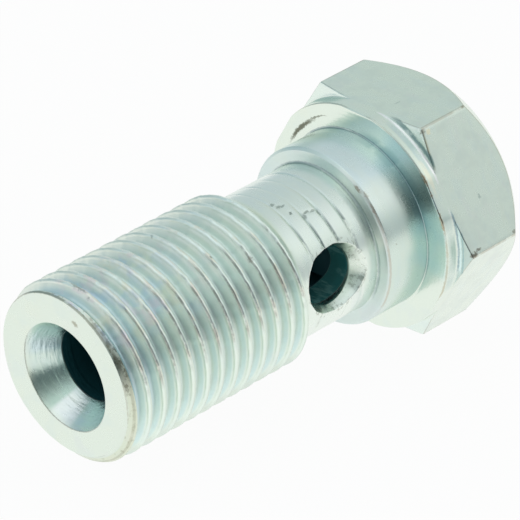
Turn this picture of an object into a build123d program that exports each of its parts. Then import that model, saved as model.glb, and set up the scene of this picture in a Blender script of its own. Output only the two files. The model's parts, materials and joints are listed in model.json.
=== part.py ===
from build123d import *
import os
from math import atan2, cos, radians, sin, tan

# A banjo bolt: a hollow screw turned from hexagon bar in one piece. Fluid enters the countersunk
# bore in the tip and leaves through the drilling that crosses the neck, into the groove of the
# banjo fitting that the collar centres. Lengths are in millimetres, angles in degrees.

# Thread, drawn as a plain cylinder of its major diameter
thread_diameter = 10.0
thread_length = 12.4
tip_face_diameter = 9.25
tip_chamfer_angle = 30.0

# Shank behind the thread
shank_length = 21.1
neck_diameter = 8.5
thread_end_angle = 40.0
neck_fillet = 0.12
collar_diameter = 10.2
collar_length = 2.85
collar_chamfer = 0.15

# Head: hexagon bar with a round seating flange turned at the front
across_flats = 12.8
head_height = 5.6
flange_diameter = 13.0
flange_thickness = 0.82
flange_back_angle = 15.7
head_top_diameter = 12.4
head_chamfer_angle = 47.0
envelope_margin = 0.5

# Axial bore from the tip, with a centred countersink and the drill's cone at its end
bore_diameter = 4.1
bore_past_cross_hole = 0.9
drill_point_angle = 118.0
countersink_diameter = 6.0
countersink_angle = 60.0

# Drilling across the neck, countersunk where it leaves each side
cross_hole_diameter = 3.2
cross_hole_to_seat = 5.8
cross_countersink_diameter = 4.2
cross_countersink_angle = 60.0
cross_hole_turn = 83.0

# Radii and distances along the axis from the tip face
thread_radius = thread_diameter / 2
tip_face_radius = tip_face_diameter / 2
neck_radius = neck_diameter / 2
collar_radius = collar_diameter / 2
flange_radius = flange_diameter / 2
head_top_radius = head_top_diameter / 2
flat_distance = across_flats / 2
corner_radius = flat_distance / cos(radians(30))
tip_chamfer_length = (thread_radius - tip_face_radius) / tan(radians(tip_chamfer_angle))
thread_end_length = (thread_radius - neck_radius) / tan(radians(thread_end_angle))
collar_start = shank_length - collar_length
overall_length = shank_length + head_height
cross_hole_station = shank_length - cross_hole_to_seat
bore_depth = cross_hole_station + cross_hole_diameter / 2 + bore_past_cross_hole

# The bolt lies on a flat of its head: it touches the surface with the front edge of that flat,
# at the washer face, and with the start of the thread, so its axis rises towards the head.
rest_tilt = atan2(flat_distance - thread_radius, shank_length - tip_chamfer_length)
axis_direction = Vector(cos(rest_tilt), 0, sin(rest_tilt))
down_direction = Vector(sin(rest_tilt), 0, -cos(rest_tilt))

# The origin is on that surface, under the middle of the bolt's length.
tip_height = thread_radius * cos(rest_tilt) - tip_chamfer_length * sin(rest_tilt)
reach_along = overall_length * cos(rest_tilt) + (head_top_radius - tip_face_radius) * sin(rest_tilt)
tip_centre = Vector(-reach_along / 2, 0, tip_height)

# Across the axis at the tip face, with its second direction up, and along the axis, with the
# radius as its first direction and the distance from the tip face as its second
tip_plane = Plane(origin=tip_centre, x_dir=(0, 1, 0), z_dir=axis_direction)
profile_plane = Plane(origin=tip_centre, x_dir=(0, 1, 0), z_dir=down_direction)
bolt_axis = Axis(tip_centre, axis_direction)

# Outline that the hexagon bar's end is turned to, passing outside the corners between its cones
envelope_radius = corner_radius + envelope_margin
flange_back = shank_length + flange_thickness
back_rise = (envelope_radius - flange_radius) * tan(radians(flange_back_angle))
chamfer_drop = (envelope_radius - head_top_radius) * tan(radians(head_chamfer_angle))

with BuildPart() as banjo_bolt:
    # Hexagon bar with a flat straight down
    with BuildSketch(tip_plane.offset(shank_length)):
        RegularPolygon(flat_distance, 6, major_radius=False)
    extrude(amount=head_height)
    with BuildSketch(profile_plane):
        with BuildLine():
            Polyline(
                (0, shank_length),
                (flange_radius, shank_length),
                (flange_radius, flange_back),
                (envelope_radius, flange_back + back_rise),
                (envelope_radius, overall_length - chamfer_drop),
                (head_top_radius, overall_length),
                (0, overall_length),
                close=True,
            )
        make_face()
    revolve(axis=bolt_axis, mode=Mode.INTERSECT)

    # Shank: thread, run-out, neck and collar
    with BuildSketch(profile_plane) as shank_profile:
        with BuildLine():
            Polyline(
                (0, 0),
                (tip_face_radius, 0),
                (thread_radius, tip_chamfer_length),
                (thread_radius, thread_length),
                (neck_radius, thread_length + thread_end_length),
                (neck_radius, collar_start),
                (collar_radius, collar_start),
                (collar_radius, flange_back),
                (0, flange_back),
                close=True,
            )
        make_face()
        shoulder = shank_profile.vertices().filter_by_position(Axis.Y, collar_start, collar_start)
        chamfer(shoulder.sort_by(Axis.X)[-1], length=collar_chamfer)
        fillet(shoulder.sort_by(Axis.X)[0], radius=neck_fillet)
    revolve(axis=bolt_axis)

    # Axial bore
    with BuildSketch(profile_plane):
        with BuildLine():
            bore_radius = bore_diameter / 2
            countersink_radius = countersink_diameter / 2
            Polyline(
                (0, 0),
                (countersink_radius, 0),
                (bore_radius, (countersink_radius - bore_radius) / tan(radians(countersink_angle / 2))),
                (bore_radius, bore_depth),
                (0, bore_depth + bore_radius / tan(radians(drill_point_angle / 2))),
                close=True,
            )
        make_face()
    revolve(axis=bolt_axis, mode=Mode.SUBTRACT)

    # Cross drilling, from the neck's surface to the axis on both sides
    crossing = tip_plane.offset(cross_hole_station).origin
    for side in (0, 180):
        outward = tip_plane.y_dir.rotate(bolt_axis, cross_hole_turn + side)
        with Locations(Plane(origin=crossing + outward * neck_radius, z_dir=outward)):
            CounterSinkHole(
                radius=cross_hole_diameter / 2,
                counter_sink_radius=cross_countersink_diameter / 2,
                depth=neck_radius,
                counter_sink_angle=cross_countersink_angle,
            )

banjo_bolt.part.label = "banjo_bolt"
os.makedirs("parts", exist_ok=True)
export_step(banjo_bolt.part, "parts/banjo_bolt.step")
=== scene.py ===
import json
from math import atan2, cos, degrees, pi, radians, sin, tan

import bmesh
import bpy
import numpy as np
from mathutils import Euler, Matrix, Vector


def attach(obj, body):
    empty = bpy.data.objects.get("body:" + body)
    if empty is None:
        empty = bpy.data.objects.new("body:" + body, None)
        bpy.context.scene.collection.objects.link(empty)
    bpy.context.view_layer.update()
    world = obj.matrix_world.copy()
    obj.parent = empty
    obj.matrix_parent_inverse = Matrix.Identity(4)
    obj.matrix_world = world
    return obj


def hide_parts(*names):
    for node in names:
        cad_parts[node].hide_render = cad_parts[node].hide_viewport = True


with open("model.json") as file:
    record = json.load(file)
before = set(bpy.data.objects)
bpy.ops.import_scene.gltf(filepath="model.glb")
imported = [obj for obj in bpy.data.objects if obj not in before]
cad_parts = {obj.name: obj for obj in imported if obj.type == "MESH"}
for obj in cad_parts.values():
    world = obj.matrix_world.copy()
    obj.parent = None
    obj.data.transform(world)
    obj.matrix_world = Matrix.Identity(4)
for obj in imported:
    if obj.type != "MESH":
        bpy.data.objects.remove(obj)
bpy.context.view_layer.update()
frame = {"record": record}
print("frame loaded")

# The bolt's own axes, read from the frame. A station is a distance in mm along the axis from the tip
# face. A turn is an angle in degrees about the axis, from straight up towards the side that faces -Y.
mm = 0.001
overallLength = 26.7
mounts = {mount["name"]: mount for mount in frame["record"]["mounts"]}
axisWay = -np.array(mounts["thread"]["axis"])
upWay = np.array((-axisWay[2], 0.0, axisWay[0]))
sideWay = np.array((0.0, -1.0, 0.0))
tipCentre = np.array(mounts["hexagon"]["pos_m"]) / mm - overallLength * axisWay


def stationOf(name):
    return float(np.dot(np.array(mounts[name]["pos_m"]) / mm - tipCentre, axisWay))


def place(station, turn, radius):
    # metres in the shared frame: along the axis by the station, out from it by the radius at the turn
    angle = np.radians(turn)
    away = np.cos(angle)[..., None] * upWay + np.sin(angle)[..., None] * sideWay
    return mm * (tipCentre + station[..., None] * axisWay + radius[..., None] * away)


def softMax(a, b, width):
    # the larger of two values, with the change between them rounded over about the width
    return 0.5 * (a + b + np.sqrt((a - b) ** 2 + width ** 2))


def softMin(a, b, width):
    return -softMax(-a, -b, width)


def smoothStep(low, high, x):
    t = np.clip((x - low) / (high - low), 0, 1)
    return t * t * (3 - 2 * t)


def shortWay(angle, middle, circle=360.0):
    # how far the angle lies from the middle, by the shorter way round
    return (angle - middle + circle / 2) % circle - circle / 2


def waves(x, seed, longest, count=7, shorter=1.7, lower=1.25, height=2.2):
    # a sum of sines of random phase, each shorter and lower than the one before, over the height that
    # they reach together
    rng = np.random.default_rng(seed)
    total = np.zeros_like(x)
    for k in range(count):
        total += np.sin(2 * np.pi * (x / longest * shorter ** k + rng.random())) / lower ** k
    return total / height


# Knocks, nicks and stains of handling, a darker patch on the first crest, and a painted highlight on a
# corner of the hexagon. A depth is pressed into the thread and the neck, and along the bolt into the head.
marks = {
    # name: ((station, turn, radius), (size along the bolt, round it, outwards), depth, colour, strength)
    "crestNickFront": ((0.97, 12.8, 4.9), (0.07, 0.10, 0.3), 0.06, "#7d8a85", 0.4),
    # darker patch on the first crest near its top, over a shallow dent
    "crestDarkPatch": ((1.08, 3.0, 4.97), (0.10, 0.70, 0.3), 0.02, "#8b9894", 0.6),
    "crestNickMiddle": ((8.18, 28.0, 4.95), (0.08, 0.10, 0.3), 0.08, "#6f7c78", 0.5),
    "crestNickRear": ((10.10, 40.9, 4.95), (0.14, 0.22, 0.3), 0.10, "#8a877a", 0.5),
    "crestNickHigh": ((6.95, -8.0, 4.95), (0.08, 0.12, 0.3), 0.06, "#8a948c", 0.4),
    "faceSpeck": ((0.0, 16.0, 3.80), (0.3, 0.26, 0.16), 0.0, "#a8a996", 0.8),
    "tipEdgeGrime": ((0.12, 57.0, 4.70), (0.20, 0.50, 0.14), 0.0, "#5f5e4c", 0.6),
    "neckPitA": ((14.04, 10.6, 4.25), (0.16, 0.13, 0.3), 0.02, "#8d9a92", 0.65),
    "neckPitB": ((14.20, 14.6, 4.25), (0.17, 0.12, 0.3), 0.02, "#87948c", 0.65),
    "neckPitC": ((14.44, 15.6, 4.25), (0.16, 0.10, 0.3), 0.02, "#87948c", 0.65),
    "neckPitD": ((14.45, 23.8, 4.25), (0.11, 0.12, 0.3), 0.03, "#75807a", 0.75),
    "neckScratchA": ((15.00, 31.0, 4.25), (0.11, 0.22, 0.3), 0.03, "#87928a", 0.7),
    "neckScratchB": ((15.26, 28.6, 4.25), (0.22, 0.09, 0.3), 0.03, "#87928a", 0.7),
    "neckScratchC": ((15.62, 30.0, 4.25), (0.20, 0.08, 0.3), 0.03, "#8b968e", 0.6),
    "neckScratchD": ((15.90, 33.2, 4.25), (0.10, 0.22, 0.3), 0.03, "#87928a", 0.7),
    "washerNick": ((21.10, -48.0, 5.68), (0.3, 1.50, 0.15), 0.05, "#5d604c", 0.9),
    "washerNickTail": ((21.10, -31.0, 5.78), (0.3, 0.9, 0.05), 0.02, "#6d715e", 0.8),
    "collarStain": ((18.27, 34.5, 4.95), (0.12, 0.34, 0.08), 0.0, "#8a7250", 0.6),
    "collarStainMiddle": ((18.40, 40.5, 5.08), (0.10, 0.26, 0.1), 0.0, "#a5927a", 0.4),
    "collarStainLow": ((18.36, 50.0, 5.05), (0.10, 0.42, 0.08), 0.0, "#b39e84", 0.5),
    "collarSpeck": ((18.95, 75.0, 5.10), (0.06, 0.07, 0.1), 0.0, "#a9aa9c", 0.6),
    "washerSpeck": ((21.10, 74.0, 5.52), (0.1, 0.05, 0.05), 0.0, "#5f8790", 0.7),
    "rimStainHigh": ((21.14, 49.0, 6.46), (0.10, 0.42, 0.12), 0.0, "#9a7c56", 0.6),
    "rimStainMiddle": ((21.14, 57.0, 6.46), (0.10, 0.30, 0.12), 0.0, "#9a7a52", 0.6),
    "rimStainLow": ((21.14, 70.0, 6.46), (0.09, 0.80, 0.12), 0.0, "#aa9168", 0.5),
    "cornerNickFront": ((22.19, 31.0, 7.25), (0.24, 0.13, 0.2), 0.0, "#8a8474", 0.6),
    # painted highlight on a corner of the hexagon
    "cornerPaintedHighlight": ((22.52, 32.0, 7.2), (0.22, 0.18, 0.2), 0.0, "#f8f4d8", 0.9),
    "cornerNickTop": ((25.35, 30.0, 7.36), (0.16, 0.09, 0.2), 0.0, "#8a8472", 0.6),
    "cornerNickLow": ((22.30, 89.2, 7.30), (0.28, 0.17, 0.2), 0.0, "#6f6656", 0.8),
    "cornerNickLowTail": ((22.70, 88.0, 7.30), (0.28, 0.08, 0.2), 0.0, "#787062", 0.75),
    "cornerNickBack": ((25.38, 88.7, 7.30), (0.14, 0.10, 0.2), 0.0, "#8a8272", 0.6),
    "flatSpeckA": ((23.3, 8.0, 6.44), (0.20, 0.07, 0.3), 0.0, "#a9b9b3", 0.6),
    "flatSpeckB": ((24.1, 68.0, 6.5), (0.10, 0.16, 0.3), 0.0, "#a9b9b3", 0.6),
}

# Lines of dirt, wear and stain along the turned edges, painted shade in the corners and hollows and on the
# flange's rim and the collar, painted highlights on the flange, and painted reflection stripes on its back
# cone
rings = {
    # name: ((station, radius), half width, turn of its middle, reach to both sides, colour, strength)
    "tipFaceEdge": ((0.05, 4.65), 0.08, -8, 62, "#929180", 0.7),
    "tipFaceCrease": ((0.02, 4.63), 0.05, 120, 75, "#b9b8a2", 0.5),
    "tipChamferWear": ((0.14, 4.70), 0.12, 50, 30, "#9c998a", 0.4),
    "tipChamferLow": ((0.30, 4.80), 0.10, 112, 60, "#a9aa92", 0.4),
    "countersinkEdge": ((0.0, 3.0), 0.05, -150, 110, "#8f9080", 0.45),
    # painted shade in the hollow where the neck meets the shoulder, and further round beside it
    "neckRootShade": ((18.20, 4.26), 0.13, -10, 75, "#87989a", 0.6),
    "neckRootSideShade": ((18.22, 4.33), 0.11, 78, 46, "#9ab0ac", 0.65),
    "collarEdge": ((18.34, 5.06), 0.07, 82, 50, "#c9bba2", 0.45),
    # painted shade in the corner between the collar and the washer face, and further round beside it
    "washerRootShade": ((21.10, 5.12), 0.10, 5, 75, "#7d9398", 0.65),
    "washerRootSideShade": ((21.10, 5.14), 0.10, 70, 50, "#8aa6a4", 0.6),
    "flangeEdge": ((21.15, 6.47), 0.07, 82, 46, "#b5a684", 0.5),
    # painted shade, dark teal, in the hollow between the flange's rim and its back cone
    "flangeRootShade": ((22.00, 6.70), 0.15, 42, 30, "#5f8789", 0.75),
    # painted white highlight streak along the hollow behind the flange's rim
    "flangeHollowHighlight": ((21.85, 6.51), 0.08, 34, 42, "#ffffff", 0.9),
    # painted blue-grey shade across the middle of the flange's rim
    "flangeRimShade": ((21.60, 6.50), 0.20, 32, 18, "#c2d8dc", 0.5),
    # painted cream highlight near the rim's front edge
    "flangeRimCreamHighlight": ((21.45, 6.54), 0.17, 50, 11, "#fbf8e2", 0.7),
    # painted shade on the lower side of the rim
    "flangeRimLowShade": ((21.50, 6.50), 0.30, 88, 24, "#cadbd4", 0.7),
    # painted reflection stripes on the flange's back cone, low down: dark, bright, dark
    "coneReflectionDarkFirst": ((21.94, 6.53), 0.08, 84, 20, "#86a6b4", 0.7),
    "coneReflectionBright": ((21.99, 6.66), 0.07, 84, 20, "#e4fcfa", 0.9),
    "coneReflectionDarkSecond": ((22.03, 6.80), 0.06, 84, 20, "#94bcc0", 0.6),
    # painted teal shade over the rear of the collar
    "collarRearShade": ((20.95, 5.10), 0.40, 42, 44, "#9fc0c4", 0.45),
    "flangeEdgeTop": ((21.15, 6.47), 0.06, 0, 50, "#b7b29c", 0.4),
}


def pressedIn(station, turn, radius):
    # how deep the marks go at each point: each is a bell as wide as its size, along the bolt, round it
    # and outwards
    depth = np.zeros(np.broadcast_shapes(station.shape, turn.shape))
    for (along, turned, out), (long, wide, thick), deepest, *_ in marks.values():
        if deepest > 0:
            around = shortWay(turn, turned) * pi / 180 * out
            spread = ((station - along) / long) ** 2 + (around / wide) ** 2 + ((radius - out) / thick) ** 2
            depth += deepest * np.exp(-spread)
    return depth


thread = dict(
    radius=mounts["thread"]["dims"]["r_mm"],
    rootRadius=4.40,
    pitch=1.0,
    crestWidth=0.125,
    flankAngle=30.0,         # of each flank, from straight across the axis
    firstCrest=0.0635,       # station of the first crest at turn 0
    crestSoftness=0.05,      # how far the crest's edges are rounded
    rootSoftness=0.06,
    tipSoftness=0.02,        # and where the tip's cone cuts the ridges off
    endTurn=12 * 360 + 215,  # turn at which the last ridge has faded away, and how long it fades
    fadeTurn=65.0,
    runOut=(12.55, 13.0),    # stations where the root drops to the neck
    nickInset=0.05,          # how far inside the crests their nicks are measured
    waver=0.008,             # slow unevenness of the crests
    waverWave=(3, 170.0),    # its seed, and the turn that its longest wave takes
    burr=0.021,              # ragged edge that the tool left on the crests
    burrTurn=12.0,           # it is strongest here, and fades over the reach
    burrReach=55.0,
    burrLeast=0.25,          # the part of it that is there all round
    burrWaves=((7, 16.0), (9, 14.0)),   # as the waver's, for its run along the bolt and outwards
    burrCount=3,             # waves in each
)
shank = dict(
    tipRadius=4.625,
    tipChamferAngle=30.0,
    neckRadius=4.25,
    neckFillet=0.12,
    collarStart=18.25,
    collarRadius=mounts["collar"]["dims"]["r_mm"],
    collarChamfer=0.15,
    chamferRounding=0.05,    # of both edges of the collar's chamfer
    seat=stationOf("washer_face"),
    markDepth=0.06,          # faint grooves that the thread's tool left on the neck, one a pitch
    markWidth=0.05,
    markPhase=0.78,          # part of the pitch behind the crest
    markBegin=(13.0, 13.4),  # stations over which they begin and end
    markEnd=(17.5, 18.0),
    markTurn=46.0,           # they are deepest here, and fade over the reach
    markReach=22.0,
    markLeast=0.35,          # the part of their depth that is there all round, and as uneven
    markRange=(0.1, 1.2),    # the least and the most part of their depth
    markWave=(5, 300.0),     # seed, and the turn that the longest wave takes
    ripple=0.002,            # between the grooves
)


def neckGrooves(station, turn, behind, totalTurn):
    # one shallow groove a pitch, deepest towards the near mouth, a low ripple between them and the nicks
    fromGroove = np.abs(behind - np.floor(behind) - shank["markPhase"]) * thread["pitch"]
    onNeck = smoothStep(*shank["markBegin"], station) * (1 - smoothStep(*shank["markEnd"], station))
    strength = shank["markLeast"] + shank["markLeast"] * waves(totalTurn, *shank["markWave"])
    strength = strength + np.exp(-(shortWay(turn, shank["markTurn"]) / shank["markReach"]) ** 2)
    strength = np.clip(strength, *shank["markRange"])
    groove = shank["markDepth"] * strength * np.exp(-(fromGroove / shank["markWidth"]) ** 2)
    groove = groove + shank["ripple"] * (1 + np.cos(2 * np.pi * behind))
    return onNeck * (groove + pressedIn(station, turn, np.full(station.shape, shank["neckRadius"])))


def shankRadius(station, turn):
    # A 60 degree ridge on the root, whose crest climbs one pitch a turn. Its height is the crest's
    # height less the distance from the crest times the flank's slope, held between the root and the
    # crest with rounded changes. The tip's cone bounds it, and the neck follows with its grooves.
    pitch, slope = thread["pitch"], 1 / tan(radians(thread["flankAngle"]))
    behind = (station - thread["firstCrest"]) / pitch - turn / 360   # pitches behind the first crest
    crest = np.round(behind)
    totalTurn = crest * 360 + turn
    near = np.exp(-(shortWay(turn, thread["burrTurn"]) / thread["burrReach"]) ** 2)
    burr = thread["burr"] * (thread["burrLeast"] + (1 - thread["burrLeast"]) * near)
    along, outwards = (waves(totalTurn, *wave, thread["burrCount"]) for wave in thread["burrWaves"])
    fromCrest = np.abs(behind - crest + burr * along) * pitch
    height = thread["radius"] - thread["rootRadius"]
    left = 1 - smoothStep(thread["endTurn"] - thread["fadeTurn"], thread["endTurn"], totalTurn)
    top = height * left + thread["waver"] * (waves(totalTurn, *thread["waverWave"]) - 1)
    top = top + burr * (outwards - 1)
    top = top - pressedIn(station, turn, np.full(station.shape, thread["radius"] - thread["nickInset"]))
    ridge = height - (fromCrest - thread["crestWidth"] / 2) * slope
    ridge = softMin(softMax(ridge, 0, thread["rootSoftness"]), top, thread["crestSoftness"])
    ridge = np.where(totalTurn > thread["endTurn"], 0, np.maximum(ridge, 0))
    drop = smoothStep(*thread["runOut"], station)
    core = thread["rootRadius"] + (shank["neckRadius"] - thread["rootRadius"]) * drop
    cone = shank["tipRadius"] + station * tan(radians(shank["tipChamferAngle"]))
    outer = softMin(core + ridge, cone, thread["tipSoftness"])
    return outer - neckGrooves(station, turn, behind, totalTurn)


mesh = dict(
    columns=216,             # round the axis, besides two beside each corner of the hexagon
    cornerColumn=0.5,        # degrees from the corner to each of them
    threadRows=(-0.36, -0.26, -0.22, -0.18, -0.12, -0.08, -0.045,      # parts of a pitch, from a crest
                0.045, 0.08, 0.12, 0.36, 0.43, 0.5, 0.57),
    roundingRows=3,
    longestRounding=0.45,    # part of the shorter run beside a corner that its rounding may take up
    windowTurn=37.0,         # half the opening in the outer surface round each mouth of the cross hole
    windowStations=(12.9, 17.8),
    boreWindowTurn=60.0,
    boreWindowStations=(12.9, 17.65),
    mouthNeckRows=12,        # from the window over the neck, closer together towards the mouth's rim
    mouthNeckEnd=0.97,
    mouthCrowding=1.3,
    mouthRimSteps=(0.25, 0.5, 0.75, 1.0),
    mouthSinkSteps=(0.3, 0.6, 0.9, 1.0),
    mouthWallRows=8,
    mouthBoreSteps=(0.12, 0.35, 0.65, 1.0),
    rimRounds=20,            # in which the mouth's rim is found
    mergeWithin=2e-7,        # m
    shortestEdge=1e-8,       # m
    sharpAngle=50.0,
)


def columnTurns():
    # even steps round the axis, and two more columns beside each corner of the hexagon
    even = np.arange(mesh["columns"]) * 360 / mesh["columns"]
    corners = np.arange(30, 360, 60)
    return np.sort(np.concatenate([even, corners - mesh["cornerColumn"], corners + mesh["cornerColumn"]]))


def softPath(corners, columns):
    # A profile of straight runs with rounded corners, for each column. A corner has its station and its
    # radius, one for all columns or for each, the rows inside the run that ends there, and its rounding,
    # which is the curve pulled by the corner from one tangent length before it to one after it.
    at = [[np.broadcast_to(value, columns) for value in corner[:2]] for corner in corners]
    at = np.array(at, dtype=float).transpose(0, 2, 1)
    runs = at[1:] - at[:-1]
    lengths = np.maximum(np.linalg.norm(runs, axis=-1), 1e-9)   # a run may have no length in some columns
    ways = runs / lengths[..., None]
    rows = [at[0]]
    leave = at[0]
    for k, (_, _, inside, rounding) in enumerate(corners[1:], 1):
        enter = at[k]
        if rounding > 0:
            bend = np.arccos(np.clip((ways[k - 1] * ways[k]).sum(-1), -1, 1))
            most = mesh["longestRounding"] * np.minimum(lengths[k - 1], lengths[k])
            reach = np.minimum(rounding * np.tan(bend / 2), most)[..., None]
            enter = at[k] - ways[k - 1] * reach
        for t in np.arange(1, inside + 1) / (inside + 1):
            rows.append(leave + (enter - leave) * t)
        rows.append(enter)
        leave = enter
        if rounding > 0:
            leave = at[k] + ways[k] * reach
            for t in np.arange(1, mesh["roundingRows"] + 1) / mesh["roundingRows"]:
                rows.append((1 - t) ** 2 * enter + 2 * t * (1 - t) * at[k] + t * t * leave)
    return np.array(rows)


def shankRows(turns):
    # rows that climb with the thread: each is a line at a fixed part of the pitch, cut off at both ends
    count = int(np.ceil(shank["collarStart"] / thread["pitch"])) + 2
    starts = (np.arange(-1, count)[:, None] + mesh["threadRows"]).ravel() * thread["pitch"]
    station = starts[:, None] + thread["firstCrest"] + turns / 360 * thread["pitch"]
    return np.clip(station, 0, shank["collarStart"])


head = dict(
    flatDistance=6.4,
    cornerRounding=0.14,
    flangeRadius=6.5,
    flangeBack=21.92,
    flangeBackAngle=15.7,
    topRadius=6.2,
    topChamferAngle=47.0,
    edgeRounding=0.09,
    rootRounding=0.22,       # of the hollow between the flange's rim and the back of it
    collarRounding=0.06,
    lead=0.3,                # length of the neck before the collar that belongs to the head's rows
)


def hexRadius(turn):
    # distance of the flats from the axis at each turn, with an arc of the corner rounding tangent to
    # both flats at each of the six corners, which lie at 30 degrees and every 60 degrees from there
    flat, arc, half = head["flatDistance"], head["cornerRounding"], radians(30)
    centre = (flat - arc) / cos(half)
    fromCorner = np.radians(np.abs((turn % 60) - 30))
    reach = atan2(arc * sin(half), centre + arc * cos(half))
    beside = np.maximum(arc ** 2 - (centre * np.sin(fromCorner)) ** 2, 0)
    onArc = centre * np.cos(fromCorner) + np.sqrt(beside)
    return np.where(fromCorner < reach, onArc, flat / np.cos(half - fromCorner))


def headRows(turns):
    # from the neck's end over the shoulder, collar, washer face, flange and hexagon to the head's middle
    neck, collar = shank["neckRadius"], shank["collarRadius"]
    start, seat = shank["collarStart"], shank["seat"]
    chamfer, soft, edge = shank["collarChamfer"], shank["chamferRounding"], head["edgeRounding"]
    flat, back, flange = hexRadius(turns), head["flangeBack"], head["flangeRadius"]
    rim = np.minimum(flange, flat)
    flatStart = back + np.maximum(flat - flange, 0) * tan(radians(head["flangeBackAngle"]))
    flatEnd = overallLength - (flat - head["topRadius"]) * tan(radians(head["topChamferAngle"]))
    return softPath([
        (start - head["lead"], neck, 0, 0),
        (start, neck, 0, shank["neckFillet"]),
        (start, collar - chamfer, 1, soft),
        (start + chamfer, collar, 0, soft),
        (seat, collar, 4, head["collarRounding"]),
        (seat, rim, 15, edge),
        (back, rim, 1, head["rootRounding"]),
        (flatStart, flat, 2, edge),
        (flatEnd, flat, 7, edge),
        (overallLength, head["topRadius"], 1, edge),
        (overallLength, 0, 6, 0),
    ], len(turns))


bore = dict(
    radius=mounts["axial_bore"]["dims"]["r_mm"],
    countersinkRadius=3.0,
    countersinkAngle=60.0,   # of the whole cone
    depth=17.8,
    pointAngle=118.0,        # of the whole drill point
    mouthRounding=0.06,
)


def boreRows(turns):
    # from the drill's point at the bore's end to the tip face's edge
    r, depth, soft = bore["radius"], bore["depth"], bore["mouthRounding"]
    point = depth + r / tan(radians(bore["pointAngle"] / 2))
    sink = (bore["countersinkRadius"] - r) / tan(radians(bore["countersinkAngle"] / 2))
    near, far = mesh["boreWindowStations"]
    return softPath([
        (point, 0, 0, 0),
        (depth, r, 4, 0),
        (far, r, 0, 0),
        (near, r, 38, 0),
        (sink, r, 8, soft),
        (0, bore["countersinkRadius"], 8, soft),
        (0, shankRadius(np.zeros(len(turns)), turns), 6, 0),
    ], len(turns))


crossHole = dict(
    radius=mounts["cross_hole"]["dims"]["r_mm"],
    station=stationOf("cross_hole"),
    turn=degrees(atan2(-mounts["cross_hole"]["axis"][1], float(np.dot(mounts["cross_hole"]["axis"], upWay)))),
    mouthRadius=2.1,
    countersinkAngle=60.0,
    rimRounding=0.05,
    raggedness=0.05,
    seeds=(11, 12),          # of the raggedness, for the two mouths
    raggedWave=120.0,        # degrees round the mouth that its longest wave takes
    raggedCount=4,           # waves in it
    raggedStart=400.0,       # degrees along the waves where it starts
)


def mouthPatch(outer, inner, turn0, seed):
    # The hole's surface as a grid: round the drill's axis by along a path that runs over the neck from
    # the outer window to the rim, down the countersink's cone and the drilled wall, and over the bore's
    # wall to the inner window. In the hole's own axes a point is (along the bolt, round it, out of it).
    rDrill, s0, rNeck = crossHole["radius"], crossHole["station"], shank["neckRadius"]
    slope = tan(radians(crossHole["countersinkAngle"] / 2))
    sinkStart = rNeck - (crossHole["mouthRadius"] - rDrill) / slope

    def toBolt(p):
        turn = turn0 + np.degrees(np.arctan2(p[..., 1], p[..., 2]))
        return s0 + p[..., 0], turn, np.hypot(p[..., 1], p[..., 2])

    def fromBolt(station, turn, radius):
        across = np.radians(turn - turn0)
        return np.stack([station - s0, radius * np.sin(across), radius * np.cos(across)], -1)

    def onRing(radius, angle, height):
        return np.stack([radius * np.cos(angle), radius * np.sin(angle), height], -1)

    outerPoint, innerPoint = fromBolt(*outer), fromBolt(*inner)
    a = np.arctan2(outerPoint[:, 1], outerPoint[:, 0])
    b = np.arctan2(innerPoint[:, 1], innerPoint[:, 0])
    b = a + shortWay(b, a, 2 * np.pi)

    # rim: where the cone, a little ragged, comes out through the neck
    reach = np.full(len(a), crossHole["mouthRadius"])
    around = np.degrees(a) + crossHole["raggedStart"]
    ragged = crossHole["raggedness"] * waves(around, seed, crossHole["raggedWave"], crossHole["raggedCount"])
    for _ in range(mesh["rimRounds"]):
        station, turn, _ = toBolt(onRing(reach, a, np.sqrt(rNeck ** 2 - (reach * np.sin(a)) ** 2)))
        height = np.sqrt(shankRadius(station, turn % 360) ** 2 - (reach * np.sin(a)) ** 2)
        reach = rDrill + (height - sinkStart) * slope + ragged
    rim = onRing(reach, a, height)
    rimStation, rimTurn, _ = toBolt(rim)

    # neck: steps from the window to the rim, in station and turn
    rows = [outerPoint]
    steps = np.linspace(0, mesh["mouthNeckEnd"], mesh["mouthNeckRows"])[1:]
    for t in 1 - (1 - steps) ** mesh["mouthCrowding"]:
        station, turn = outer[0] + (rimStation - outer[0]) * t, outer[1] + (rimTurn - outer[1]) * t
        rows.append(fromBolt(station, turn, shankRadius(station, turn % 360)))
    before, sinkEnd = rows[-1], onRing(rDrill, a, np.full(len(a), sinkStart))
    into = rim + (sinkEnd - rim) * (crossHole["rimRounding"] / np.linalg.norm(sinkEnd - rim, axis=1))[:, None]
    for t in mesh["mouthRimSteps"]:
        rows.append((1 - t) ** 2 * before + 2 * t * (1 - t) * rim + t * t * into)
    for t in mesh["mouthSinkSteps"]:
        rows.append(into + (sinkEnd - into) * t)
    # drilled wall, whose foot is where it meets the bore
    foot = np.sqrt(bore["radius"] ** 2 - (rDrill * np.sin(b)) ** 2)
    for t in np.linspace(0, 1, mesh["mouthWallRows"] + 1)[1:]:
        rows.append(onRing(rDrill, a + (b - a) * t, sinkStart + (foot - sinkStart) * t))
    footStation, footTurn, _ = toBolt(rows[-1])
    for t in mesh["mouthBoreSteps"]:
        station, turn = footStation + (inner[0] - footStation) * t, footTurn + (inner[1] - footTurn) * t
        rows.append(fromBolt(station, turn, np.full(len(a), bore["radius"])))
    return toBolt(np.array(rows))


def windowLoop(rows, columns):
    # the index pairs round a rectangle of the grid, in order
    (i0, i1), (j0, j1) = rows, columns
    rowStep = 1 if i1 > i0 else -1
    loop = [(i0, j) for j in range(j0, j1)] + [(i, j1) for i in range(i0, i1, rowStep)]
    loop += [(i1, j) for j in range(j1, j0, -1)] + [(i, j0) for i in range(i1, i0, -rowStep)]
    return tuple(np.array(loop).T)


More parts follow.
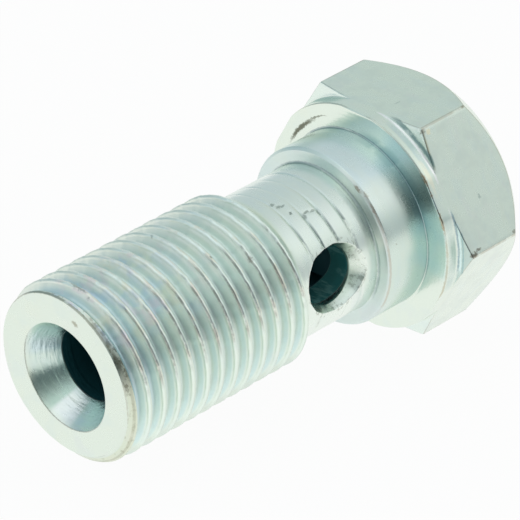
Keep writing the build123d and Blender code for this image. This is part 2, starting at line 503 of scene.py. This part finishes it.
def boltSurface():
    # One grid runs from the bore's end out through the tip face, along the shank and over the head to
    # the middle of its top, by once round the axis. The shank's rows climb with the thread, so at the
    # seam each meets the row one pitch further on. Four windows are left for the two mouths.
    turns = columnTurns()
    inside = boreRows(turns)
    outside = headRows(turns)[1:]
    outside[..., 0] += pressedIn(outside[..., 0], turns, outside[..., 1])
    shankStation = np.minimum(shankRows(turns), outside[0, 0, 0])
    shankR = shankRadius(shankStation, np.broadcast_to(turns, shankStation.shape))
    outside[0, :, 1] = shankR[-1]
    station = np.concatenate([inside[..., 0], shankStation, outside[..., 0]])
    radius = np.concatenate([inside[..., 1], shankR, outside[..., 1]])
    turn = np.broadcast_to(turns, station.shape)
    index = np.arange(station.size).reshape(station.shape)
    right = np.roll(index, -1, axis=1)
    first, last = len(inside), len(inside) + len(shankStation) - 1
    rows = np.arange(first, last + 1)
    right[rows, -1] = index[np.minimum(rows + len(mesh["threadRows"]), last), 0]
    keep = np.ones((len(station) - 1, len(turns)), bool)

    def columnAt(angle):
        return int(np.argmin(np.abs(turns - angle)))

    def rowAt(low, high, aim, column):
        return low + int(np.argmin(np.abs(station[low:high, column] - aim)))

    def windowEdge(rows, columns, turn0):
        # its stations, turns and radii, and the angle of each point about the hole's axis
        loop = windowLoop(rows, columns)
        s, t, r = station[loop], turn[loop], radius[loop]
        return (s, t, r), np.arctan2(r * np.sin(np.radians(t - turn0)), s - crossHole["station"])

    # windows: the outer and inner ones have as many points round them
    patches = []
    for turn0, seed in zip((crossHole["turn"], crossHole["turn"] + 180), crossHole["seeds"]):
        j0, j1 = columnAt(turn0 - mesh["windowTurn"]), columnAt(turn0 + mesh["windowTurn"])
        i0, i1 = (rowAt(first, last, aim, columnAt(turn0)) for aim in mesh["windowStations"])
        k0, k1 = columnAt(turn0 - mesh["boreWindowTurn"]), columnAt(turn0 + mesh["boreWindowTurn"])
        m0 = rowAt(0, first, mesh["boreWindowStations"][1], columnAt(turn0))
        m1 = m0 + (i1 - i0) + (j1 - j0) - (k1 - k0)
        keep[i0:i1, j0:j1] = False
        keep[m0:m1, k0:k1] = False
        outer, outerAngle = windowEdge((i0, i1), (j0, j1), turn0)
        inner, innerAngle = windowEdge((m1, m0), (k0, k1), turn0)
        shift = np.argmin(np.abs(shortWay(innerAngle, outerAngle[0], 2 * np.pi)))
        patches.append(mouthPatch(outer, [np.roll(values, -shift) for values in inner], turn0, seed))

    points = [place(station, turn, radius).reshape(-1, 3)]
    quads = [np.stack([index[:-1], right[:-1], right[1:], index[1:]], -1)[keep]]
    base = station.size
    for patch in patches:
        grid = base + np.arange(patch[0].size).reshape(patch[0].shape)
        nextOne = np.roll(grid, -1, axis=1)
        quads.append(np.stack([grid[:-1], nextOne[:-1], nextOne[1:], grid[1:]], -1).reshape(-1, 4))
        points.append(place(*patch).reshape(-1, 3))
        base += patch[0].size
    return np.concatenate(points), np.concatenate(quads)


def meshPiece(name, points, quads):
    # rows that were cut off at one station are merged, which also sews the windows and the poles
    data = bpy.data.meshes.new(name)
    data.from_pydata(points.tolist(), [], quads.tolist())
    sewn = bmesh.new()
    sewn.from_mesh(data)
    bmesh.ops.remove_doubles(sewn, verts=sewn.verts, dist=mesh["mergeWithin"])
    bmesh.ops.dissolve_degenerate(sewn, edges=sewn.edges, dist=mesh["shortestEdge"])
    bmesh.ops.recalc_face_normals(sewn, faces=sewn.faces)
    openEdges = sum(len(edge.link_faces) != 2 for edge in sewn.edges)
    volume = round(sewn.calc_volume() / mm ** 3, 1)
    print(name, len(sewn.faces), "faces,", openEdges, "open edges,", volume, "mm3")
    sewn.to_mesh(data)
    sewn.free()
    data.polygons.foreach_set("use_smooth", np.ones(len(data.polygons), bool))
    data.set_sharp_from_angle(angle=radians(mesh["sharpAngle"]))
    piece = bpy.data.objects.new(name, data)
    bpy.context.scene.collection.objects.link(piece)
    return piece


bolt = meshPiece("bolt", *boltSurface())
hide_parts("banjo_bolt")
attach(bolt, "root")
print("bolt made")


def linear(code):
    # an sRGB hex colour as linear red, green, blue and alpha
    parts = [int(code[i:i + 2], 16) / 255 for i in (1, 3, 5)]
    return [c / 12.92 if c <= 0.04045 else ((c + 0.055) / 1.055) ** 2.4 for c in parts] + [1.0]


def addNode(tree, kind, *inputs, on=0, **settings):
    # a node with its settings and links. The inputs are values or other nodes' outputs for its sockets
    # in turn, or one dictionary by the sockets' names, and "on" is the output that others take from it.
    node = tree.nodes.new("ShaderNode" + kind)
    for name, value in settings.items():
        setattr(node, name, value)
    given = inputs[0] if inputs and isinstance(inputs[0], dict) else dict(enumerate(inputs))
    for socket, source in given.items():
        if isinstance(source, bpy.types.NodeSocket):
            tree.links.new(source, node.inputs[socket])
        else:
            node.inputs[socket].default_value = source
    return node.outputs[on] if len(node.outputs) else node


def newMaterial(name):
    material = bpy.data.materials.new(name)
    material.use_nodes = True
    material.node_tree.nodes.clear()
    return material, material.node_tree


plate = dict(
    colour="#e6f1e5",
    roughness=0.28,
    roughnessSpread=0.1,     # how much it changes over the patches
    # the washer face was turned finest, for the seal, and the drilled walls are rough
    roughnessOf=dict(thread=0.40, washer=0.17, shoulder=0.42, crestNear=0.20, bare=0.5),
    bareMetal=0.5,           # dulled by what is left of the cutting oil
    tint=0.06,               # strength of the tints, and on the side of the thread that shows them most
    threadTint=0.34,
    ringSpacing=0.14,        # mm; the lathe's real marks are about 0.05 mm apart, too fine to show
    ringDetail=2.0,
    ringScales=(1.0, 0.3),   # the rings, and wider ones between them
    ringWander=0.5,          # how fast they change round the axis
    ringDepth=0.004,         # mm
    ringDepthOf=dict(sink=0.024, cone=0.016, top=0.014),
    burrHeight=0.04,         # mm, of the roughness that breaks up the crests of the thread
    fullReach=0.6,           # part of a reach over which its mask is full
    raggedNoise={"Scale": 7.0, "Detail": 3.0, "Roughness": 0.65},   # of rings and marks, scale per mm
    ringRaggedness=0.1,      # mm
    markRaggedness=0.3,
    outline=(1.15, 0.5),     # where a ring or mark begins and where it is full, in parts of its size
    ringPatches=(0.25, 0.5),  # where the patches break up the rings
    cornerInset=0.02,        # mm inside the hexagon's sharp corner where a worn border ends
    cornerSlope=1.5,         # how much narrower the border is there
)

# Noises: the size of their patches in mm, and how far they are pressed together along and across the axis
clouds = dict(
    patchy=dict(size=0.9, detail=4.0, roughness=0.6),
    grit=dict(size=0.22, roughness=0.6, across=0.6),            # specks of wear
    drawnOut=dict(size=1.2, along=1.6, across=0.7),             # tints of the film
    other=dict(size=1.2, along=1.6, across=0.7, start=(31.0, 7.0, 3.0)),
    streaks=dict(size=0.45, detail=4.0, roughness=0.7, across=0.2),   # of the drill, five times as long
)

# Areas of the surface, as conditions that all hold: (value, where it begins, where it is full), (turn,
# reach to both sides of it) or the name of an area before it. Stations and radii are in mm, the phase is
# the part of a pitch behind the thread's crest, and widest is the half width across the nearest flats.
areas = dict(
    thread=(("station", 12.9, 12.6), ("radius", 4.3, 4.38), ("station", 0.03, 0.10)),
    neck=(("station", 13.0, 13.3), ("station", 18.2, 17.9), ("radius", 3.9, 4.0)),
    collar=(("station", 18.2, 18.3), ("station", 21.1, 21.0)),
    shoulder=(("station", 18.2, 18.23), ("station", 18.42, 18.36), ("radius", 4.25, 4.3)),
    washer=(("station", 21.0, 21.06), ("station", 21.2, 21.14), ("radius", 5.12, 5.2)),
    sink=(("radius", 3.04, 3.0), ("station", 2.4, 2.2)),
    chamfer=(("station", 0.03, 0.08), ("station", 0.62, 0.45), ("radius", 4.5, 4.6)),
    hole=(("radius", 3.42, 3.30), ("radius", 2.07, 2.12), ("station", 3.0, 4.0), ("station", 20.5, 20.0)),
    bore=(("radius", 2.12, 2.07), ("station", 1.6, 1.75), ("station", 20.5, 20.0)),
    mouth=(("fromHole", 2.25, 2.10), ("radius", 3.40, 3.50), ("station", 12.0, 12.5)),
    flat=(("station", 21.95, 22.0), ("widest", 6.36, 6.39)),
    cone=(("station", 21.90, 21.95), ("station", 22.7, 22.6), ("widest", 6.39, 6.36)),
    top=(("station", 26.55, 26.68),),
    border=(("fromEdge", 0.06, 0.018), ("patchy", 0.3, 0.5), "flat"),   # worn
    root=("thread", ("radius", 4.78, 4.48), ("station", 0.3, 0.6)),
    ragged=("thread", ("radius", 4.80, 4.90)),
    crest=("thread", ("radius", 4.84, 4.93)),
    crestNear=("crest", (35, 75)),
    rainbow=("thread", (18, 40), ("station", 8.5, 4.0)),
    tip=(("station", 3.5, 1.5), (40, 80)),
)

# Coats over the metal's own colour, in turn; many of them, set by the turn, are painted light, shade and
# highlights: the conditions as above, the colour and its strength
coats = dict(
    collar=(["collar"], "#cbdfd7", 1.0),
    # painted light, bluish white, on the top of the collar
    collarTopLight=(["collar", (22, 40)], "#eaf6f8", 0.8),
    # painted light on its side
    collarSideLight=(["collar", (60, 30)], "#e8f0e4", 0.6),
    # painted highlight low on the front of the collar
    collarLowFrontHighlight=(["collar", (98, 34), ("station", 19.9, 19.3)], "#dae9df", 0.9),
    # painted shade, dark teal, low at the back of the collar
    collarLowBackShade=(["collar", (98, 40), ("station", 19.7, 20.6)], "#b7d2ce", 0.85),
    shoulder=(["shoulder"], "#e0eee9", 1.0),
    # painted highlight on the shoulder
    shoulderNearHighlight=(["shoulder", (46, 34)], "#fbfff8", 0.7),
    # painted shade, dark teal, on the washer face, and lighter shade further down
    washerNearShade=(["washer", (52, 36)], "#c2d8d5", 1.0),
    washerLowShade=(["washer", (84, 22)], "#d3ece7", 0.6),
    cone=(["cone"], "#e8f5ec", 1.0),
    # painted shade on the low side of the back cone
    coneLowShade=(["cone", (90, 30)], "#c0d6ce", 0.8),
    neck=(["neck"], "#ecf6ec", 1.0),
    neckTopShade=(["neck", (10, 45)], "#e0eae9", 0.4),               # painted shade on the top, faintly blue
    sink=(["sink"], "#d8ece4", 0.6),
    # painted shade on three sides of the countersink
    sinkFarLowShade=(["sink", (-136, 34)], "#c2dccc", 0.6),
    sinkLowShade=(["sink", (148, 34)], "#cadeea", 0.6),
    sinkFarShade=(["sink", (-64, 30)], "#c6dff0", 0.4),
    # painted white highlight streak in the countersink
    sinkHighlight=(["sink", (-167, 18)], "#ffffff", 0.8),
    sinkInner=(["sink", ("radius", 2.35, 2.05)], "#a9c4c0", 0.45),
    sinkOuter=(["sink", ("radius", 2.76, 2.98)], "#eef4de", 0.35),
    # painted light on the top of the thread, and painted shade, warmer and greyer, on its far side
    threadTopLight=(["thread", (0, 70)], "#ecf8f2", 0.8),
    threadFarShade=(["thread", (-22, 54)], "#e6eadb", 0.45),
    # painted highlight on the flanks next to the crests
    flankHighlight=(["thread", ("phase", 0.72, 0.80), ("phase", 0.94, 0.90), (22, 24)], "#fcfff8", 0.8),
    root=(["root"], "#d2e6e0", 0.5),                            # painted shade in the thread's roots, darker and bluer
    # more painted shade, bluer, in the roots near the tip
    tipRootShade=(["root", "tip"], "#b6d6e6", 0.4),
    crestLow=(["thread", ("radius", 4.82, 4.96), (110, 75)], "#e4f1e6", 0.7),
    # painted light on the flanks on the low side, and a painted highlight beside the crests there
    flankLowLight=(["thread", ("phase", 0.62, 0.72), ("phase", 0.86, 0.78), (96, 40)], "#def6f3", 0.9),
    flankLowHighlight=(["thread", ("phase", 0.76, 0.84), ("phase", 0.98, 0.93), (98, 36)], "#f2fff4", 0.9),
    # burnished crests, with a painted highlight where they face the light
    crestBurnishAndHighlight=(["crest", (28, 50), ("patchy", 0.30, 0.50)], "#f4fff8", 0.85),
    # painted cream highlight patches on the crests, and wider near the tip
    crestCreamHighlight=(["crest", (34, 50), ("other", 0.52, 0.60)], "#f8f2de", 0.6),
    tipCreamHighlight=(["thread", "rainbow", ("radius", 4.74, 4.88), ("drawnOut", 0.44, 0.52)], "#fbf8ec", 0.6),
    flatPatches=(["flat", ("patchy", 0.45, 0.65)], "#d9e4dc", 0.4),
    border=(["border"], "#b7b1a0", 0.55),
    flatEdge=(["flat", ("frontEdge", 0.16, 0.05), (39, 10)], "#a8a27c", 0.6),
    chamferLow=(["chamfer", (110, 78)], "#e6edd6", 0.8),
    chamferGleam=(["chamfer", ("grit", 0.50, 0.40), (24, 30)], "#f2eeea", 0.7),
    chamferGrime=(["chamfer", ("grit", 0.48, 0.58), (54, 28)], "#6a6956", 0.7),
    chamferGrimeTop=(["chamfer", ("grit", 0.52, 0.60), (16, 34)], "#8f8f84", 0.5),
    chamferGrimeLow=(["chamfer", ("grit", 0.54, 0.62), (95, 70)], "#a9ad94", 0.4),
    # tan line along the tip side of the thread's crests, where they face up and forwards
    crestLine=([("phase", 0.84, 0.89), ("phase", 0.98, 0.94), "thread", ("radius", 4.80, 4.88),
                ("patchy", 0.35, 0.58), (54, 33)], "#939282", 0.6),
    mouthGrime=(["mouth", ("grit", 0.52, 0.62)], "#a7afa2", 0.6),
    mouthGleam=(["mouth", ("grit", 0.46, 0.38)], "#f2f8f0", 0.5),
    # darker along the neck's grooves, round turn 48
    neckGrooveDark=([("phase", 0.72, 0.77), ("phase", 0.83, 0.79), "neck", ("patchy", 0.35, 0.60), (48, 30)],
                 "#8c968e", 0.4),
)
tints = dict(                # faint colours of the passivated film
    blue=(("drawnOut", 0.50, 0.62), "#b8d4f0"),
    rose=(("other", 0.54, 0.66), "#ecd6e4"),
    straw=(("other", 0.46, 0.34), "#eeeacc"),
)
wallCoats = dict(            # drilled walls, which the plating bath hardly reaches, coloured in painted teal shade, darkest in the bore
    bore=(["bore"], "#1e545c", 1.0),
    hole=(["hole"], "#3f8c8c", 1.0),
    holeStreaks=(["hole", ("streaks", 0.52, 0.66)], "#8fc4c0", 0.7),
)


def zincPlate():
    # Turned steel, electroplated with bright zinc and passivated clear: a satin silver metal with a cool
    # green cast and faint tints, whose turned faces still show the lathe's rings.
    material, tree = newMaterial("zincPlatedSteel")
    values, masks = {}, {}

    def add(kind, *inputs, **settings):
        return addNode(tree, kind, *inputs, **settings)

    def mask(condition):
        # an area by its name, a rise from where it begins to where it is full, or a reach about a turn
        if isinstance(condition, str):
            return masks[condition]
        if len(condition) == 3:
            name, begins, full = condition
            return add("MapRange", values[name], begins, full, interpolation_type="SMOOTHSTEP")
        # the cosine of the angle from the turn falls as the reach grows
        turn, reach = (radians(angle) for angle in condition)
        near = add("VectorMath", around, (cos(turn), sin(turn), 0), operation="DOT_PRODUCT", on=1)
        full = cos(reach * plate["fullReach"])
        return add("MapRange", near, cos(reach), full, interpolation_type="SMOOTHSTEP")

    def where(*conditions):
        # the product of the conditions' masks
        total = mask(conditions[0])
        for condition in conditions[1:]:
            total = add("Math", total, mask(condition), operation="MULTIPLY")
        return total

    def cloud(size, detail=3.0, roughness=0.55, along=1.0, across=1.0, start=(0, 0, 0)):
        # noise in the bolt's own axes, in patches of the size
        at = add("Mapping", point, start, (0, 0, 0), (along, across, across))
        return add("TexNoise", {"Vector": at, "Scale": 1 / size, "Detail": detail, "Roughness": roughness},
                   noise_dimensions="4D")

    def byArea(value, usual, others):
        # the value, to which each area adds its difference from the usual one
        for name, other in others.items():
            value = add("Math", masks[name], other - usual, value, operation="MULTIPLY_ADD")
        return value

    # the bolt's own axes in mm: x is the station, z is up and -y is towards the hole's near side
    own = Matrix((axisWay, (0, 1, 0), upWay)).transposed().to_euler()
    inObject = add("TexCoord", on="Object")
    point = add("Mapping", inObject, tipCentre * mm, own, (mm, mm, mm), vector_type="TEXTURE")
    station, y, z = add("SeparateXYZ", point).node.outputs
    radius = add("VectorMath", add("CombineXYZ", 0.0, y, z), operation="LENGTH", on=1)
    cosine = add("Math", z, radius, operation="DIVIDE")
    sine = add("Math", add("Math", y, -1.0, operation="MULTIPLY"), radius, operation="DIVIDE")
    turns = add("Math", add("Math", sine, cosine, operation="ARCTAN2"), 2 * pi, operation="DIVIDE")
    around = add("CombineXYZ", cosine, sine, 0.0)

    # the part of a pitch behind the crest: station / pitch + 1 - first crest - turns, without its whole part
    phase = add("Math", station, 1 / thread["pitch"], 1 - thread["firstCrest"], operation="MULTIPLY_ADD")
    phase = add("Math", add("Math", phase, turns, operation="SUBTRACT"), operation="FRACT")

    # the largest reach across the three pairs of flats is the half width there
    widest = 0.0
    for angle in (0, pi / 3, 2 * pi / 3):
        reach = add("VectorMath", point, (0, sin(angle), cos(angle)), operation="DOT_PRODUCT", on=1)
        widest = add("Math", add("Math", reach, operation="ABSOLUTE"), widest, operation="MAXIMUM")

    # distance from the cross hole's axis
    turned = radians(crossHole["turn"])
    across = add("VectorMath", point, (0, cos(turned), sin(turned)), operation="DOT_PRODUCT", on=1)
    along = add("Math", station, crossHole["station"], operation="SUBTRACT")
    fromHole = add("VectorMath", add("CombineXYZ", along, across, 0.0), operation="LENGTH", on=1)

    # how far each point of the flats is from the chamfer, from the back of the flange and from a corner
    chamfer, back = tan(radians(head["topChamferAngle"])), tan(radians(head["flangeBackAngle"]))
    topEdge = add("Math", add("Math", radius, -chamfer, operation="MULTIPLY"), station, operation="SUBTRACT")
    topEdge = add("Math", topEdge, overallLength + head["topRadius"] * chamfer)
    frontEdge = add("Math", radius, -back, station, operation="MULTIPLY_ADD")
    frontEdge = add("Math", frontEdge, head["flangeRadius"] * back - head["flangeBack"])
    slope, sharp = plate["cornerSlope"], head["flatDistance"] / cos(radians(30)) - plate["cornerInset"]
    corner = add("Math", radius, -slope, slope * sharp, operation="MULTIPLY_ADD")
    nearest = add("Math", add("Math", topEdge, frontEdge, operation="MINIMUM"), corner, operation="MINIMUM")

    values.update(station=station, radius=radius, phase=phase, widest=widest, fromHole=fromHole)
    values.update(frontEdge=frontEdge, fromEdge=nearest)
    values.update({name: cloud(**given) for name, given in clouds.items()})
    for name, conditions in areas.items():
        masks[name] = where(*conditions)
    masks["bare"] = add("Math", masks["hole"], masks["bore"], operation="MAXIMUM")

    layers = [(where(*conditions), code, strength) for conditions, code, strength in coats.values()]
    for condition, code in tints.values():
        layers.append((where(condition), code, plate["tint"]))
        layers.append((where(condition, "rainbow"), code, plate["threadTint"]))

    # rings and marks, with ragged outlines, set out by station, part of a turn and radius
    wander = add("TexNoise", {"Vector": point, **plate["raggedNoise"]}, on="Color")
    wander = add("VectorMath", wander, (0.5, 0.5, 0.5), operation="SUBTRACT")
    polar = add("CombineXYZ", station, turns, radius)
    broken = ("patchy", *plate["ringPatches"])
    lines = [((along, 0, out), (1 / width, 0, 1 / width), [(turn, reach), broken], *look)
             for (along, out), width, turn, reach, *look in rings.values()]
    spots = [((along, turn / 360, out), (1 / long, 2 * pi * out / wide, 1 / thick), [], *look)
             for (along, turn, out), (long, wide, thick), _, *look in marks.values()]
    for amount, things in ((plate["ringRaggedness"], lines), (plate["markRaggedness"], spots)):
        # round the bolt the same distance is this part of a turn
        amountRound = amount / (2 * pi * thread["radius"])
        shift = add("VectorMath", wander, (amount, amountRound, amount), operation="MULTIPLY")
        at = add("VectorMath", polar, shift, operation="ADD")
        for middle, scale, conditions, code, strength in things:
            away = add("VectorMath", at, middle, operation="SUBTRACT")
            away = add("VectorMath", away, scale, operation="MULTIPLY")
            values["spread"] = add("VectorMath", away, operation="LENGTH", on=1)
            layers.append((where(("spread", *plate["outline"]), *conditions), code, strength))
    layers += [(where(*conditions), code, strength) for conditions, code, strength in wallCoats.values()]

    # each layer's colour is mixed over those before it, by its mask times its strength
    colour = linear(plate["colour"])
    for lies, code, strength in layers:
        part = add("Math", lies, strength, operation="MULTIPLY")
        colour = add("Mix", {0: part, 6: colour, 7: linear(code)}, data_type="RGBA", on=2)

    usual, change = plate["roughness"], plate["roughnessSpread"]
    rough = add("Math", values["patchy"], change, usual - change / 2, operation="MULTIPLY_ADD")
    rough = byArea(rough, usual, plate["roughnessOf"])
    metal = add("Math", masks["bare"], plate["bareMetal"] - 1, 1.0, operation="MULTIPLY_ADD")

    # the lathe's rings, in mm: noise that is drawn out round the axis, deepest in the countersink
    ringPoint = add("Math", cosine, plate["ringWander"], operation="MULTIPLY")
    ringPoint = add("CombineXYZ", station, radius, ringPoint)
    ringWave = add("Math", sine, plate["ringWander"], operation="MULTIPLY")
    lathe = 0.0
    for part in plate["ringScales"]:
        scale, detail = part / plate["ringSpacing"], plate["ringDetail"]
        fine = add("TexNoise", {"Vector": ringPoint, "W": ringWave, "Scale": scale, "Detail": detail},
                   noise_dimensions="4D")
        lathe = add("Math", fine, lathe)
    lathe = add("Math", lathe, byArea(plate["ringDepth"], plate["ringDepth"], plate["ringDepthOf"]),
                operation="MULTIPLY")
    rolled = add("Math", values["patchy"], plate["ringDepth"], operation="MULTIPLY")
    height = add("Mix", {0: masks["flat"], 2: lathe, 3: rolled})
    burr = add("Math", masks["ragged"], plate["burrHeight"], operation="MULTIPLY")
    height = add("Math", values["grit"], burr, height, operation="MULTIPLY_ADD")
    bump = add("Bump", {"Strength": 1.0, "Distance": mm, "Height": height})
    add("OutputMaterial", add("BsdfPrincipled", {
        "Base Color": colour, "Metallic": metal, "Roughness": rough, "Normal": bump}))
    return material


bolt.data.materials.append(zincPlate())
print("bolt plated")

studio = dict(
    floorColour="#f6f7f5",
    floorHalf=2.0,           # m
    floorWhite=0.95,         # how far the floor shows as plain white to the camera
    metalWhite=0.985,        # and to the metal
    dome="#d4dee4",
)

# Soft lights and dark gaps round the object
zones = {
    # name: (azimuth from +Y towards +X, elevation, width in degrees, colour, how far it covers the dome)
    "camera side gap": (-134, 20, 29, "#0f2f30", 0.96),
    "rear low gap": (178, 3, 24, "#123348", 0.9),
    "far grey": (-24, 40, 24, "#93aab6", 0.8),
    "far teal": (0, 8, 16, "#86a8aa", 0.6),
    "low straw": (88, 16, 26, "#bcc09a", 0.6),
    "left box": (-82, 60, 24, "#f6ffff", 1.0),
    "right box": (143, 44, 20, "#fbffff", 1.0),
}


def whiteRays(tree, names):
    # 1 for the rays that see the white surroundings
    total = 0.0
    for name in names:
        total = addNode(tree, "Math", addNode(tree, "LightPath", on=name), total, operation="MAXIMUM")
    return total


def makeFloor():
    data = bpy.data.meshes.new("floor")
    half = studio["floorHalf"]
    corners = [(-half, -half, 0), (half, -half, 0), (half, half, 0), (-half, half, 0)]
    data.from_pydata(corners, [], [(0, 1, 2, 3)])
    floor = bpy.data.objects.new("floor", data)
    bpy.context.scene.collection.objects.link(floor)
    material, tree = newMaterial("paperSweep")
    # matt white paper, which keeps a soft shadow and otherwise shows as plain white
    paper = addNode(tree, "BsdfDiffuse", linear(studio["floorColour"]))
    white = addNode(tree, "Emission", (1, 1, 1, 1), 1.0)
    toCamera = whiteRays(tree, ["Is Camera Ray"])
    toCamera = addNode(tree, "Math", toCamera, studio["floorWhite"], operation="MULTIPLY")
    toMetal = whiteRays(tree, ["Is Glossy Ray", "Is Transmission Ray"])
    toMetal = addNode(tree, "Math", toMetal, studio["metalWhite"], operation="MULTIPLY")
    part = addNode(tree, "Math", toCamera, toMetal, operation="MAXIMUM")
    addNode(tree, "OutputMaterial", addNode(tree, "MixShader", part, paper, white))
    data.materials.append(material)


def makeWorld():
    # a soft dome, over which each zone is laid with the strength e to the (cosine of the angle from
    # its middle - 1) / width squared
    world = bpy.data.worlds.new("studio")
    bpy.context.scene.world = world
    world.use_nodes = True
    tree = world.node_tree
    tree.nodes.clear()
    way = addNode(tree, "TexCoord", on="Generated")
    colour = linear(studio["dome"])
    for azimuth, elevation, width, code, most in zones.values():
        turned, up = radians(azimuth), radians(elevation)
        middle = (sin(turned) * cos(up), cos(turned) * cos(up), sin(up))
        cosine = addNode(tree, "VectorMath", way, middle, operation="DOT_PRODUCT", on=1)
        sharpness = 1 / radians(width) ** 2
        fall = addNode(tree, "Math", cosine, sharpness, -sharpness, operation="MULTIPLY_ADD")
        cover = addNode(tree, "Math", fall, operation="EXPONENT")
        cover = addNode(tree, "Math", cover, most, operation="MULTIPLY")
        colour = addNode(tree, "Mix", {0: cover, 6: colour, 7: linear(code)}, data_type="RGBA", on=2)
    room = addNode(tree, "Background", colour, 1.0)
    white = addNode(tree, "Background", (1, 1, 1, 1), 1.0)
    seen = whiteRays(tree, ["Is Camera Ray", "Is Transmission Ray"])
    addNode(tree, "OutputWorld", addNode(tree, "MixShader", seen, room, white))


makeFloor()
makeWorld()
print("studio made")

camera = dict(
    aim=(0.194, -0.153, 6.621),   # mm
    azimuth=45.14,                # looks along +Y at 0, turned towards +X
    elevation=29.23,
    roll=1.27,
    distance=209.05,              # mm
    focalLength=278.0,            # mm
    sensorWidth=36.0,             # mm
    clip=(0.01, 10.0),            # m
)


def makeCamera():
    data = bpy.data.cameras.new("camera")
    data.lens = camera["focalLength"]
    data.sensor_width = camera["sensorWidth"]
    data.clip_start, data.clip_end = camera["clip"]
    made = bpy.data.objects.new("camera", data)
    bpy.context.scene.collection.objects.link(made)
    made.rotation_mode = "QUATERNION"
    turned = Euler((radians(90 - camera["elevation"]), 0, radians(-camera["azimuth"]))).to_quaternion()
    turned = turned @ Euler((0, 0, radians(camera["roll"]))).to_quaternion()
    made.rotation_quaternion = turned
    made.location = (Vector(camera["aim"]) + turned @ Vector((0, 0, 1)) * camera["distance"]) * mm
    bpy.context.scene.camera = made


makeCamera()
bpy.context.scene.view_settings.view_transform = "Standard"
print("camera set")
